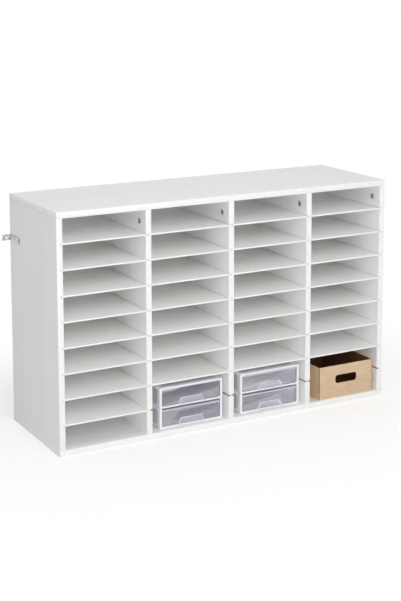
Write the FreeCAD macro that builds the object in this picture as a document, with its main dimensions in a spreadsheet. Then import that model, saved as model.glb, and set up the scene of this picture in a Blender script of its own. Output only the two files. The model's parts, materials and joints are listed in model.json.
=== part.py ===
"""Envelope sorter: a cabinet of loose shelves in four columns, two clear drawer organisers and a kraft bin.

The frame: X runs along the front from left to right, Y from front to back, Z up. The origin is the
middle of the cabinet's footprint, on the floor. Every length is in millimetres.
"""

import FreeCAD, Part
import math
import os

import Sketcher

COLUMNS = 4
ROWS = 9
# Shelves that each column holds, counted from the top. The lowest grooves of three columns stay empty.
SHELVES_IN_COLUMN = (8, 7, 7, 7)
ORGANISER_COLUMNS = (2, 3)
BIN_COLUMN = 4
TIERS = ("lower", "upper")
LOWER, UPPER = range(2)
NAILS_PER_UPRIGHT = 5

SIZES = {
    # cabinet
    "cabinet_width": 1000,
    "cabinet_depth": 320,
    "cabinet_height": 628,
    "board": 16,
    "back_sheet": 3,
    "back_margin": 1,
    # shelves and their grooves
    "shelf_sheet": 4,
    "groove_depth": 6,
    "groove_play": 0.5,
    "shelf_end_gap": 1.5,
    "shelf_rear_gap": 0.5,
    # cam fittings that draw the top panel down on the uprights
    "cam_setback": 37,
    "cam_drop": 34,
    "cam_diameter": 15,
    "cam_thickness": 12.5,
    "cam_recess": 0.3,
    "cam_play": 0.1,
    "cam_cross_length": 9,
    "cam_cross_width": 1.8,
    "cam_cross_depth": 2,
    "bolt_thread_diameter": 6,
    "bolt_thread_length": 11,
    "bolt_shaft_diameter": 5,
    "bolt_head_diameter": 7,
    "bolt_head_length": 3,
    "bolt_play": 0.5,
    # dowels beside the cam fittings and beside the connecting screws
    "dowel_diameter": 8,
    "dowel_length": 30,
    "dowel_in_panel": 12,
    "dowel_spacing": 32,
    "dowel_taper": 1,
    "dowel_end_gap": 0.5,
    "fastener_play": 0.05,
    # connecting screws driven up through the bottom panel
    "screw_length": 50,
    "screw_diameter": 6.6,
    "screw_head_diameter": 10,
    "screw_head_length": 4,
    "screw_recess": 0.5,
    "screw_socket": 4,
    "screw_socket_depth": 2.5,
    # nails of the back sheet
    "nail_length": 22,
    "nail_diameter": 1.6,
    "nail_head_diameter": 4,
    "nail_head_length": 1.2,
    "nail_end_margin": 44,
    # wall brackets
    "bracket_length": 70,
    "bracket_foot": 22,
    "bracket_height": 16,
    "bracket_sheet": 1.5,
    "bracket_bend": 2,
    "bracket_drop": 119,
    "wall_hole_diameter": 5.5,
    "wall_hole_offset": 11,
    "slot_length": 12,
    "slot_width": 4.5,
    "slot_offset": 10,
    "screw_hole_offset": 34,
    "pan_screw_diameter": 3.5,
    "pan_screw_length": 12,
    "pan_head_diameter": 7,
    "pan_head_height": 2.4,
    # organiser frames
    "unit_width": 190,
    "unit_depth": 240,
    "unit_setback": 16,
    "unit_side_gap": 10.5,
    "tier_height": 55.5,
    "foot_height": 1,
    "foot_size": 10,
    "shell": 2.2,
    "corner_radius": 4,
    "post": 6.5,
    "top_rail": 5,
    "bottom_rail": 4.5,
    "flange_depth": 3,
    "ledge_width": 8.5,
    "guide_height": 1.5,
    "window_front": 20,
    "window_rear": 14,
    "window_below": 8,
    "window_above": 6.5,
    "window_side": 15,
    "window_radius": 5,
    "pane": 1.2,
    "pane_lap": 3,
    "pane_play": 0.1,
    # organiser drawers
    "drawer_play": 0.5,
    "drawer_wall": 1.8,
    "drawer_front": 2,
    "drawer_front_recess": 1,
    "drawer_rear_gap": 4,
    "drawer_wall_drop": 5,
    "drawer_corner": 3,
    "mouth_corner": 3,
    "pull_base": 79,
    "pull_top": 65,
    "pull_height": 17.5,
    "pull_reach": 8,
    "pull_wall": 1.6,
    # kraft bin
    "bin_width": 183,
    "bin_depth": 250,
    "bin_height": 93,
    "bin_board": 2,
    "bin_corner": 2.5,
    "bin_setback": 6,
    "bin_side_gap": 12,
    "hand_hole_width": 72,
    "hand_hole_height": 24,
    "hand_hole_radius": 8,
    "hand_hole_level": 52.5,
}

# Derived lengths, as expressions on the sheet's cells.
UPRIGHT = "(sizes.cabinet_height - 2 * sizes.board)"
CARCASS = "(sizes.cabinet_depth - sizes.back_sheet)"
LEFT = "(-sizes.cabinet_width / 2)"
FRONT = "(-sizes.cabinet_depth / 2)"
REAR = f"({FRONT} + {CARCASS})"
TOP_JOINT = "(sizes.cabinet_height - sizes.board)"
BRACKET_LEVEL = "(sizes.cabinet_height - sizes.bracket_drop)"
COLUMN = f"((sizes.cabinet_width - {COLUMNS + 1} * sizes.board) / {COLUMNS})"
PITCH = f"(({UPRIGHT} + sizes.shelf_sheet) / {ROWS})"
# Fasteners stand in from the front and from the rear edge of the boards by the same setback.
FITTING_ROWS = (f"({FRONT} + sizes.cam_setback)", f"({REAR} - sizes.cam_setback)")
DOWEL_ROWS = (
    f"({FRONT} + sizes.cam_setback + sizes.dowel_spacing)",
    f"({REAR} - sizes.cam_setback - sizes.dowel_spacing)",
)
OPENING_WIDTH = "(sizes.unit_width - 2 * sizes.post)"
OPENING_HEIGHT = "(sizes.tier_height - sizes.top_rail - sizes.bottom_rail)"
WINDOW_LENGTH = "(sizes.unit_depth - sizes.window_front - sizes.window_rear)"
WINDOW_HEIGHT = "(sizes.tier_height - sizes.window_below - sizes.window_above)"
WINDOW_WIDTH = "(sizes.unit_width - 2 * sizes.window_side)"
DRAWER_WIDTH = f"({OPENING_WIDTH} - 2 * sizes.drawer_play)"
DRAWER_HEIGHT = f"({OPENING_HEIGHT} - 2 * sizes.drawer_play)"
DRAWER_DEPTH = "(sizes.unit_depth - sizes.shell - sizes.drawer_rear_gap - sizes.drawer_front_recess)"

doc = FreeCAD.newDocument("envelope_sorter")
sheet = doc.addObject("Spreadsheet::Sheet", "sizes")
for line, (alias, number) in enumerate(SIZES.items(), start=1):
    sheet.set(f"A{line}", alias.replace("_", " "))
    sheet.set(f"B{line}", str(number))
    sheet.setAlias(f"B{line}", alias)
doc.recompute()

nodes = []


# --- drawing helpers ------------------------------------------------------------------------------


def keep(piece, label):
    """Makes the object a node of the hand-in, under its label."""
    piece.Label = label
    nodes.append(piece)
    return piece


def place(piece, x="0", y="0", z="0"):
    for axis, text in zip("xyz", (x, y, z)):
        piece.setExpression(f"Placement.Base.{axis}", text)
    return piece


def box(name, length, width, height, corner):
    """A block with its lowest left front corner at the given point."""
    block = doc.addObject("Part::Box", name)
    block.setExpression("Length", length)
    block.setExpression("Width", width)
    block.setExpression("Height", height)
    return place(block, *corner)


def facing(piece, direction):
    """Turns the piece so that its own Z axis points along the direction."""
    turn = FreeCAD.Rotation(FreeCAD.Vector(0, 0, 1), FreeCAD.Vector(*direction))
    piece.Placement = FreeCAD.Placement(FreeCAD.Vector(), turn)
    return piece


def rod(name, diameter, length, start, direction=(0, 0, 1)):
    """A round rod or bore of the given diameter, from its start along the direction."""
    cylinder = facing(doc.addObject("Part::Cylinder", name), direction)
    cylinder.setExpression("Radius", f"{diameter} / 2")
    cylinder.setExpression("Height", length)
    return place(cylinder, *start)


def taper(name, base, tip, length, start, direction=(0, 0, 1)):
    """A cone frustum from the base diameter to the tip diameter."""
    cone = facing(doc.addObject("Part::Cone", name), direction)
    cone.setExpression("Radius1", f"{base} / 2")
    cone.setExpression("Radius2", f"{tip} / 2")
    cone.setExpression("Height", length)
    return place(cone, *start)


def joined(name, pieces):
    fuse = doc.addObject("Part::MultiFuse", name)
    fuse.Shapes = pieces
    return fuse


def cut(name, blank, tools):
    result = doc.addObject("Part::Cut", name)
    result.Base = blank
    result.Tool = tools[0] if len(tools) == 1 else joined(f"{name}_tools", tools)
    return result


def copies(label, master, places, turns=None):
    """A node of separate equal solids: one copy of the master at each place."""
    links = []
    for count, point in enumerate(places):
        link = doc.addObject("App::Link", f"{label}_{count + 1}")
        link.LinkedObject = master
        if turns and turns[count]:
            link.Placement = FreeCAD.Placement(FreeCAD.Vector(), turns[count])
        links.append(place(link, *point))
    group = doc.addObject("Part::Compound", label)
    group.Links = links
    return keep(group, label)


def value(text):
    """The number that an expression has now."""
    return float(sheet.evalExpression(text))


# --- sketch and body helpers ----------------------------------------------------------------------


def new_body(name):
    return doc.addObject("PartDesign::Body", name)


def sketch_on(body, role, level):
    """An empty sketch on an origin plane of the body, moved along the plane's normal by the level."""
    sketch = body.newObject("Sketcher::SketchObject", f"{body.Name}_sketch")
    plane = next(datum for datum in body.Origin.OriginFeatures if datum.Role == role)
    sketch.AttachmentSupport = (plane, [""])
    sketch.MapMode = "FlatFace"
    sketch.setExpression("AttachmentOffset.Base.z", level)
    return sketch


def dimension(sketch, kind, start, end, text):
    """A driving distance between two points, bound to its expression; none is needed at zero."""
    number = sketch.addConstraint(Sketcher.Constraint(kind, *start, *end, value(text)))
    sketch.setExpression(f"Constraints[{number}]", text)


# The origin point of a sketch, as Sketcher numbers it.
ORIGIN = (-1, 1)
# Points closer than this are one point, in millimetres.
TOUCHING = 1e-6
# Shares of a pan head's diameter: its flat crown, and the arms of its cross recess.
PAN_CROWN = 0.6
PAN_RECESS_LENGTH = 0.5
PAN_RECESS_WIDTH = 0.12
# A slot's corner radius as a share of its width: just under half, so that its short sides keep a length.
SLOT_END = 0.49


def outline(sketch, points):
    """A closed outline of straight lines through points, each given as two expressions."""
    corners = [FreeCAD.Vector(value(x), value(y), 0) for x, y in points]
    lines = [
        sketch.addGeometry(Part.LineSegment(corner, corners[(i + 1) % len(corners)]))
        for i, corner in enumerate(corners)
    ]
    for i, line in enumerate(lines):
        sketch.addConstraint(Sketcher.Constraint("Coincident", lines[i - 1], 2, line, 1))
        for kind, axis, text in (("DistanceX", -2, points[i][0]), ("DistanceY", -1, points[i][1])):
            if text == "0":
                sketch.addConstraint(Sketcher.Constraint("PointOnObject", line, 1, axis))
            else:
                dimension(sketch, kind, ORIGIN, (line, 1), text)


def rounded_rectangle(sketch, left, bottom, width, height, radius):
    """A rectangle with four equal round corners; the sizes are expressions."""
    x0, y0 = value(left), value(bottom)
    x1, y1 = x0 + value(width), y0 + value(height)
    r = value(radius)
    up = FreeCAD.Vector(0, 0, 1)
    quarter = math.pi / 2
    sides = (
        ((x0 + r, y0), (x1 - r, y0), (x1 - r, y0 + r), 3),
        ((x1, y0 + r), (x1, y1 - r), (x1 - r, y1 - r), 0),
        ((x1 - r, y1), (x0 + r, y1), (x0 + r, y1 - r), 1),
        ((x0, y1 - r), (x0, y0 + r), (x0 + r, y0 + r), 2),
    )
    lines, arcs = [], []
    for start, end, centre, quadrant in sides:
        side = Part.LineSegment(FreeCAD.Vector(*start, 0), FreeCAD.Vector(*end, 0))
        lines.append(sketch.addGeometry(side))
        circle = Part.Circle(FreeCAD.Vector(*centre, 0), up, r)
        corner = Part.ArcOfCircle(circle, quadrant * quarter, (quadrant + 1) * quarter)
        arcs.append(sketch.addGeometry(corner))
    for i in range(4):
        sketch.addConstraint(Sketcher.Constraint("Tangent", lines[i], 2, arcs[i], 1))
        sketch.addConstraint(Sketcher.Constraint("Tangent", arcs[i], 2, lines[(i + 1) % 4], 1))
        sketch.addConstraint(Sketcher.Constraint("Vertical" if i % 2 else "Horizontal", lines[i]))
        if i:
            sketch.addConstraint(Sketcher.Constraint("Equal", arcs[0], arcs[i]))
    number = sketch.addConstraint(Sketcher.Constraint("Radius", arcs[0], r))
    sketch.setExpression(f"Constraints[{number}]", radius)
    for kind, axis, near, far, start, span in (
        ("DistanceX", -2, (lines[3], 1), (lines[1], 1), left, width),
        ("DistanceY", -1, (lines[0], 1), (lines[2], 1), bottom, height),
    ):
        if start == "0":
            sketch.addConstraint(Sketcher.Constraint("PointOnObject", *near, axis))
        else:
            dimension(sketch, kind, ORIGIN, near, start)
        dimension(sketch, kind, near, far, span)


def extruded(body, kind, sketch, length, along_normal):
    """Pads or pockets a sketch by a length, along its normal or against it."""
    before = body.Shape.Volume if kind == "Pocket" else 0
    feature = body.newObject(f"PartDesign::{kind}", f"{body.Name}_{kind.lower()}")
    feature.Profile = sketch
    feature.setExpression("Length", length)
    feature.Reversed = along_normal if kind == "Pocket" else not along_normal
    doc.recompute()
    if kind == "Pocket" and not body.Shape.Volume < before:
        raise RuntimeError(f"{feature.Name} cuts nothing")
    return feature


def slab(body, kind, role, level, rectangle, radius, length, along_normal=True):
    """A rounded rectangle, padded or pocketed along the plane's normal.

    The normal is +Z on XY_Plane, +X on YZ_Plane and -Y on XZ_Plane.
    """
    sketch = sketch_on(body, role, level)
    if radius:
        rounded_rectangle(sketch, *rectangle, radius)
    else:
        x, y, width, height = rectangle
        right, top = f"{x} + {width}", f"{y} + {height}"
        outline(sketch, ((x, y), (right, y), (right, top), (x, top)))
    return extruded(body, kind, sketch, length, along_normal)


def edges_where(shape, test):
    """Names of the edges whose two ends both pass the test."""
    return [
        f"Edge{number}"
        for number, edge in enumerate(shape.Edges, start=1)
        if len(edge.Vertexes) == 2 and all(test(end.Point) for end in edge.Vertexes)
    ]


def rounded(body, radius, test):
    """Fillets the edges of the body's last feature whose ends pass the test."""
    base = body.Tip
    fillet = body.newObject("PartDesign::Fillet", f"{body.Name}_fillet")
    fillet.Base = (base, edges_where(base.Shape, test))
    fillet.setExpression("Radius", radius)
    doc.recompute()
    return fillet


def at_corner(x, y):
    """A test for the ends of an upright edge that stands at a corner of a profile on XY_Plane."""
    corner = (value(x), value(y))
    return lambda end: abs(end.x - corner[0]) < TOUCHING and abs(end.y - corner[1]) < TOUCHING


def round_hole(body, role, level, x, y, diameter, depth):
    """A round pocket along the normal of an origin plane."""
    sketch = sketch_on(body, role, level)
    middle = FreeCAD.Vector(value(x), value(y), 0)
    circle = Part.Circle(middle, FreeCAD.Vector(0, 0, 1), value(diameter) / 2)
    hole = sketch.addGeometry(circle)
    dimension(sketch, "DistanceX", ORIGIN, (hole, 3), x)
    dimension(sketch, "DistanceY", ORIGIN, (hole, 3), y)
    number = sketch.addConstraint(Sketcher.Constraint("Diameter", hole, value(diameter)))
    sketch.setExpression(f"Constraints[{number}]", diameter)
    return extruded(body, "Pocket", sketch, depth, True)


# --- cabinet --------------------------------------------------------------------------------------


def upright_left(index):
    """The left face of an upright, counted from 0 at the cabinet's left side."""
    return f"({LEFT} + {index} * (sizes.board + {COLUMN}))"


def upright_middle(index):
    return f"({upright_left(index)} + sizes.board / 2)"


def column_left(column):
    """The left wall of a column's clear space, counted from 1."""
    return f"({upright_left(column - 1)} + sizes.board)"


def shelf_level(row):
    """The underside of the shelf over a row, counted from 1 at the bottom."""
    return f"(sizes.board + {row} * {PITCH} - sizes.shelf_sheet)"


def nail_levels():
    """Heights of the nails along an upright."""
    low = "(sizes.board + sizes.nail_end_margin)"
    span = f"({UPRIGHT} - 2 * sizes.nail_end_margin)"
    return [f"({low} + {step} * {span} / {NAILS_PER_UPRIGHT - 1})" for step in range(NAILS_PER_UPRIGHT)]


def nail_columns():
    """Places along X of the nails in the top and bottom panels: two over each column."""
    quarters = (1, 3)
    return [f"({column_left(c + 1)} + {q} * {COLUMN} / 4)" for c in range(COLUMNS) for q in quarters]


def nail_bores(name, points):
    """Bores for the nails' shanks in the rear edge of a board."""
    bore = "(sizes.nail_diameter + 2 * sizes.fastener_play)"
    depth = "(sizes.nail_length - sizes.back_sheet + 1)"
    return [rod(f"{name}_nail_bore", bore, depth, (x, REAR, z), (0, -1, 0)) for x, z in points]


def grooves(name, left_face, index):
    """The shelf grooves of one face of an upright, open at its front and rear edges."""
    start = upright_left(index)
    if not left_face:
        start = f"({start} + sizes.board - sizes.groove_depth)"
    height = "(sizes.shelf_sheet + sizes.groove_play)"
    return [
        box(f"{name}_groove", "sizes.groove_depth", CARCASS, height, (start, FRONT, shelf_level(row)))
        for row in range(1, ROWS)
    ]


def cam_place(index, row):
    """The middle of a cam's outer face: on an upright's left face, but inside on the left side panel."""
    face = upright_left(index) if index else f"({upright_left(index)} + sizes.board)"
    return face, row, f"({TOP_JOINT} - sizes.cam_drop)"


def dowel_bores(name, index, level, depth, up):
    bore = "(sizes.dowel_diameter + 2 * sizes.fastener_play)"
    direction = (0, 0, 1 if up else -1)
    return [
        rod(f"{name}_dowel_bore", bore, depth, (upright_middle(index), row, level), direction)
        for row in DOWEL_ROWS
    ]


DOWEL_IN_PANEL = "(sizes.dowel_in_panel + sizes.dowel_end_gap)"
DOWEL_IN_UPRIGHT = "(sizes.dowel_length - sizes.dowel_in_panel + sizes.dowel_end_gap)"
BRACKET_FRONT = "(sizes.cabinet_depth / 2 - sizes.bracket_length)"
BRACKET_SCREW_ROWS = (
    f"({BRACKET_FRONT} + sizes.slot_offset)",
    f"({BRACKET_FRONT} + sizes.screw_hole_offset)",
)


def upright(index, label):
    """A side panel or divider: a board with shelf grooves and the bores of its fasteners."""
    corner = (upright_left(index), FRONT, "sizes.board")
    blank = box(f"{label}_board", "sizes.board", CARCASS, UPRIGHT, corner)
    tools = []
    if index < COLUMNS:
        tools += grooves(label, False, index)
    if index > 0:
        tools += grooves(label, True, index)
    inward = (1, 0, 0) if index else (-1, 0, 0)
    for row in FITTING_ROWS:
        cam_bore = "(sizes.cam_diameter + 2 * sizes.cam_play)"
        depth = "(sizes.cam_thickness + sizes.cam_recess)"
        tools.append(rod(f"{label}_cam_bore", cam_bore, depth, cam_place(index, row), inward))
        channel = "(sizes.bolt_head_diameter + 2 * sizes.bolt_play)"
        top = (upright_middle(index), row, TOP_JOINT)
        tools.append(rod(f"{label}_bolt_channel", channel, "sizes.cam_drop", top, (0, 0, -1)))
        bore = "(sizes.screw_diameter + 2 * sizes.fastener_play)"
        depth = "(sizes.screw_length + sizes.screw_recess - sizes.board + 1)"
        tools.append(rod(f"{label}_screw_bore", bore, depth, (upright_middle(index), row, "sizes.board")))
    tools += dowel_bores(label, index, TOP_JOINT, DOWEL_IN_UPRIGHT, False)
    tools += dowel_bores(label, index, "sizes.board", DOWEL_IN_UPRIGHT, True)
    tools += nail_bores(label, [(upright_middle(index), z) for z in nail_levels()])
    if index in (0, COLUMNS):
        face = LEFT if index == 0 else f"(-{LEFT})"
        inward = (1, 0, 0) if index == 0 else (-1, 0, 0)
        bore = "(sizes.pan_screw_diameter + 2 * sizes.fastener_play)"
        depth = "(sizes.pan_screw_length - sizes.bracket_sheet + 1)"
        for row in BRACKET_SCREW_ROWS:
            tools.append(rod(f"{label}_bracket_bore", bore, depth, (face, row, BRACKET_LEVEL), inward))
    return keep(cut(label, blank, tools), label)


def top_panel():
    blank = box("top_board", "sizes.cabinet_width", CARCASS, "sizes.board", (LEFT, FRONT, TOP_JOINT))
    tools = []
    for index in range(COLUMNS + 1):
        for row in FITTING_ROWS:
            bore = "(sizes.bolt_thread_diameter + 2 * sizes.fastener_play)"
            depth = "(sizes.bolt_thread_length + sizes.fastener_play)"
            tools.append(rod("top_bolt_bore", bore, depth, (upright_middle(index), row, TOP_JOINT)))
        tools += dowel_bores("top", index, TOP_JOINT, DOWEL_IN_PANEL, True)
    tools += nail_bores("top", [(x, f"({TOP_JOINT} + sizes.board / 2)") for x in nail_columns()])
    return keep(cut("top_panel", blank, tools), "top_panel")


def bottom_panel():
    blank = box("bottom_board", "sizes.cabinet_width", CARCASS, "sizes.board", (LEFT, FRONT, "0"))
    head = "(sizes.screw_head_diameter + 2 * sizes.fastener_play)"
    bore = "(sizes.screw_diameter + 2 * sizes.fastener_play)"
    tools = []
    for index in range(COLUMNS + 1):
        for row in FITTING_ROWS:
            x = upright_middle(index)
            seat = ("sizes.screw_head_length", (x, row, "sizes.screw_recess"))
            tools.append(rod("bottom_head_bore", head, "sizes.screw_recess", (x, row, "0")))
            tools.append(taper("bottom_head_seat", head, bore, *seat))
            tools.append(rod("bottom_screw_bore", bore, "sizes.board", (x, row, "0")))
        tools += dowel_bores("bottom", index, "sizes.board", DOWEL_IN_PANEL, False)
    tools += nail_bores("bottom", [(x, "(sizes.board / 2)") for x in nail_columns()])
    return keep(cut("bottom_panel", blank, tools), "bottom_panel")


def nail_points():
    """Every nail of the back sheet, as places along X and Z."""
    on_uprights = [(upright_middle(i), z) for i in range(COLUMNS + 1) for z in nail_levels()]
    edges = (f"({TOP_JOINT} + sizes.board / 2)", "(sizes.board / 2)")
    return on_uprights + [(x, z) for z in edges for x in nail_columns()]


def back_panel():
    """A hardboard sheet over the whole rear, just short of the boards' edges, with sunk nail holes."""
    width = "sizes.cabinet_width - 2 * sizes.back_margin"
    height = "sizes.cabinet_height - 2 * sizes.back_margin"
    corner = (f"({LEFT} + sizes.back_margin)", REAR, "sizes.back_margin")
    blank = box("back_sheet_blank", width, "sizes.back_sheet", height, corner)
    head = "(sizes.nail_head_diameter + 2 * sizes.fastener_play)"
    shank = "(sizes.nail_diameter + 2 * sizes.fastener_play)"
    outer = "(sizes.cabinet_depth / 2)"
    tools = []
    for x, z in nail_points():
        start, inward = (x, outer, z), (0, -1, 0)
        tools.append(taper("back_nail_seat", head, shank, "sizes.nail_head_length", start, inward))
        tools.append(rod("back_nail_hole", shank, "sizes.back_sheet", start, inward))
    return keep(cut("back_panel", blank, tools), "back_panel")


def shelf(column, number):
    """A loose shelf, counted from the top. Its two ends stand in the grooves."""
    insertion = "(sizes.groove_depth - sizes.shelf_end_gap)"
    label = f"shelf_{column}_{number}"
    corner = (f"({column_left(column)} - {insertion})", FRONT, shelf_level(ROWS - number))
    sizes = (f"{COLUMN} + 2 * {insertion}", f"{CARCASS} - sizes.shelf_rear_gap", "sizes.shelf_sheet")
    return keep(box(label, *sizes, corner), label)


# --- fasteners ------------------------------------------------------------------------------------


def cam_locks():
    """Cam housings in the uprights, with a cross recess outside and a passage above for the bolt's head."""
    start, inward = ("sizes.cam_recess", "0", "0"), (1, 0, 0)
    body = rod("cam_body", "sizes.cam_diameter", "sizes.cam_thickness", start, inward)
    long, wide, deep = "sizes.cam_cross_length", "sizes.cam_cross_width", "sizes.cam_cross_depth"
    reach = "(sizes.cam_recess + sizes.cam_cross_depth)"
    cross_level = box("cam_cross_level", reach, long, wide, ("0", f"-{long} / 2", f"-{wide} / 2"))
    cross_upright = box("cam_cross_upright", reach, wide, long, ("0", f"-{wide} / 2", f"-{long} / 2"))
    passage = "(sizes.bolt_head_diameter + 2 * sizes.bolt_play)"
    below = "(sizes.bolt_head_length / 2 + sizes.bolt_play)"
    start = ("sizes.board / 2", "0", f"-{below}")
    entry = rod("cam_bolt_entry", passage, f"{below} + sizes.cam_diameter / 2", start)
    master = cut("cam", body, [cross_level, cross_upright, entry])
    places = [cam_place(index, row) for index in range(COLUMNS + 1) for row in FITTING_ROWS]
    half_turn = FreeCAD.Rotation(FreeCAD.Vector(0, 0, 1), 180)
    turns = [half_turn if index == 0 else None for index in range(COLUMNS + 1) for _ in FITTING_ROWS]
    return copies("cam_locks", master, places, turns)


def cam_bolts():
    """Bolts screwed up into the top panel, whose heads hang down into the cams."""
    thread = rod("bolt_thread", "sizes.bolt_thread_diameter", "sizes.bolt_thread_length", ("0", "0", "0"))
    shaft_length = "(sizes.cam_drop + sizes.bolt_head_length / 2)"
    shaft = rod("bolt_shaft", "sizes.bolt_shaft_diameter", shaft_length, ("0", "0", "0"), (0, 0, -1))
    head_start = ("0", "0", "-(sizes.cam_drop - sizes.bolt_head_length / 2)")
    head = rod("bolt_head", "sizes.bolt_head_diameter", "sizes.bolt_head_length", head_start, (0, 0, -1))
    master = joined("bolt", [thread, shaft, head])
    places = [(upright_middle(i), row, TOP_JOINT) for i in range(COLUMNS + 1) for row in FITTING_ROWS]
    return copies("cam_bolts", master, places)


def dowels():
    """Wooden dowels with tapered ends, between the uprights and the panels above and below them."""
    chamfered = "(sizes.dowel_diameter - 2 * sizes.dowel_taper)"
    middle = "sizes.dowel_length - 2 * sizes.dowel_taper"
    above = ("0", "0", "sizes.dowel_length - sizes.dowel_taper")
    pieces = [
        taper("dowel_foot", chamfered, "sizes.dowel_diameter", "sizes.dowel_taper", ("0", "0", "0")),
        rod("dowel_middle", "sizes.dowel_diameter", middle, ("0", "0", "sizes.dowel_taper")),
        taper("dowel_tip", "sizes.dowel_diameter", chamfered, "sizes.dowel_taper", above),
    ]
    levels = (
        "sizes.board - sizes.dowel_in_panel",
        f"{TOP_JOINT} + sizes.dowel_in_panel - sizes.dowel_length",
    )
    places = [
        (upright_middle(index), row, level)
        for index in range(COLUMNS + 1)
        for row in DOWEL_ROWS
        for level in levels
    ]
    return copies("dowels", joined("dowel", pieces), places)


def base_screws():
    """Connecting screws, driven up through the bottom panel into the uprights, with a hexagon socket."""
    shank_length = "sizes.screw_length - sizes.screw_head_length"
    shank_start = ("0", "0", "sizes.screw_head_length")
    head_ends = ("sizes.screw_head_diameter", "sizes.screw_diameter")
    head = taper("screw_head", *head_ends, "sizes.screw_head_length", ("0", "0", "0"))
    shank = rod("screw_shank", "sizes.screw_diameter", shank_length, shank_start)
    socket = doc.addObject("Part::Prism", "screw_socket_hexagon")
    socket.Polygon = 6
    socket.setExpression("Circumradius", "sizes.screw_socket / sqrt(3)")
    socket.setExpression("Height", "sizes.screw_socket_depth")
    master = cut("connecting_screw", joined("connecting_screw_blank", [head, shank]), [socket])
    places = [
        (upright_middle(i), row, "sizes.screw_recess") for i in range(COLUMNS + 1) for row in FITTING_ROWS
    ]
    return copies("base_screws", master, places)


def back_nails():
    """Nails with countersunk heads, flush with the back sheet."""
    inward = (0, -1, 0)
    start = ("0", "0", "0")
    head_ends = ("sizes.nail_head_diameter", "sizes.nail_diameter")
    head = taper("nail_head", *head_ends, "sizes.nail_head_length", start, inward)
    shank = rod("nail_shank", "sizes.nail_diameter", "sizes.nail_length", start, inward)
    places = [(x, "(sizes.cabinet_depth / 2)", z) for x, z in nail_points()]
    return copies("back_nails", joined("nail", [head, shank]), places)


# --- wall brackets --------------------------------------------------------------------------------


def wall_bracket(label, left_hand):
    """A bent strip: its long leg lies on the side panel, and its foot stands in the plane of the wall."""
    body = new_body(label)
    if left_hand:
        half_turn = FreeCAD.Rotation(FreeCAD.Vector(0, 1, 0), 180)
        body.Placement = FreeCAD.Placement(FreeCAD.Vector(), half_turn)
    face = LEFT if left_hand else f"(-{LEFT})"
    height = "sizes.bracket_height"
    low = f"({BRACKET_LEVEL} {'+' if left_hand else '-'} {height} / 2)"
    place(body, face, BRACKET_FRONT, low)
    length, thick, foot = "sizes.bracket_length", "sizes.bracket_sheet", "sizes.bracket_foot"
    profile = sketch_on(body, "XY_Plane", "0")
    inside = f"{length} - {thick}"
    leg = (("0", length), ("0", "0"), (thick, "0"), (thick, inside))
    outline(profile, leg + ((foot, inside), (foot, length)))
    extruded(body, "Pad", profile, height, True)
    rounded(body, "sizes.bracket_bend", at_corner(thick, inside))
    rounded(body, f"sizes.bracket_bend + {thick}", at_corner("0", length))
    wide, middle = "sizes.slot_width", f"{height} / 2"
    slot = ("sizes.slot_offset - sizes.slot_length / 2", f"{middle} - {wide} / 2", "sizes.slot_length", wide)
    slab(body, "Pocket", "YZ_Plane", "0", slot, f"{wide} * {SLOT_END}", thick)
    round_hole(body, "YZ_Plane", "0", "sizes.screw_hole_offset", middle, wide, thick)
    wall_hole = ("sizes.wall_hole_offset", middle, "sizes.wall_hole_diameter")
    round_hole(body, "XZ_Plane", f"-{length}", *wall_hole, thick)
    return keep(body, label)


def bracket_screws():
    """Pan-head screws with a cross recess, two through each bracket's long leg."""
    head = "sizes.pan_head_diameter"
    under, tall = "sizes.bracket_sheet", "sizes.pan_head_height"
    long, wide = f"{head} * {PAN_RECESS_LENGTH}", f"{head} * {PAN_RECESS_WIDTH}"
    crown = f"({under} + {tall})"
    seat, rim = (f"-{under}", "0", "0"), (f"-{under} - {tall} / 2", "0", "0")
    inward, outward = (1, 0, 0), (-1, 0, 0)
    pieces = [
        rod("pan_shank", "sizes.pan_screw_diameter", "sizes.pan_screw_length", seat, inward),
        rod("pan_head_rim", head, f"{tall} / 2", seat, outward),
        taper("pan_head_crown", head, f"{head} * {PAN_CROWN}", f"{tall} / 2", rim, outward),
    ]
    recess = [
        box("pan_recess_level", f"{tall} / 2", long, wide, (f"-{crown}", f"-{long} / 2", f"-{wide} / 2")),
        box("pan_recess_upright", f"{tall} / 2", wide, long, (f"-{crown}", f"-{wide} / 2", f"-{long} / 2")),
    ]
    master = cut("pan_screw", joined("pan_screw_blank", pieces), recess)
    half_turn = FreeCAD.Rotation(FreeCAD.Vector(0, 0, 1), 180)
    places = [(face, row, BRACKET_LEVEL) for face in (LEFT, f"(-{LEFT})") for row in BRACKET_SCREW_ROWS]
    turns = [None, None, half_turn, half_turn]
    return copies("bracket_screws", master, places, turns)


# --- organisers -----------------------------------------------------------------------------------


def unit_corner(column):
    """The left front corner of an organiser's footprint, which stands near the right wall of its column."""
    right_wall = f"({column_left(column)} + {COLUMN})"
    return f"({right_wall} - sizes.unit_side_gap - sizes.unit_width)", f"({FRONT} + sizes.unit_setback)"


def tier_level(tier):
    """The underside of a tier's floor. The upper tier stands on the lower one's posts and rear wall."""
    return f"(sizes.board + sizes.foot_height + {tier} * sizes.tier_height)"


def windows(tier):
    """Each window of a tier: its name, the body plane it lies on, the outline of the hole on it, the plane's
    level at the inner face of the wall, and whether the wall lies along the plane's normal from there."""
    side = ("sizes.window_front", "sizes.window_below", WINDOW_LENGTH, WINDOW_HEIGHT)
    top = ("sizes.window_side", "sizes.window_front", WINDOW_WIDTH, WINDOW_LENGTH)
    sides = (
        ("left", "YZ_Plane", side, "sizes.shell", False),
        ("right", "YZ_Plane", side, "sizes.unit_width - sizes.shell", True),
    )
    roof = (("top", "XY_Plane", top, "sizes.tier_height - sizes.shell", True),)
    return sides + roof if tier == UPPER else sides


def widened(rectangle, margin):
    x, y, width, height = rectangle
    return f"{x} - {margin}", f"{y} - {margin}", f"{width} + 2 * {margin}", f"{height} + 2 * {margin}"


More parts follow.
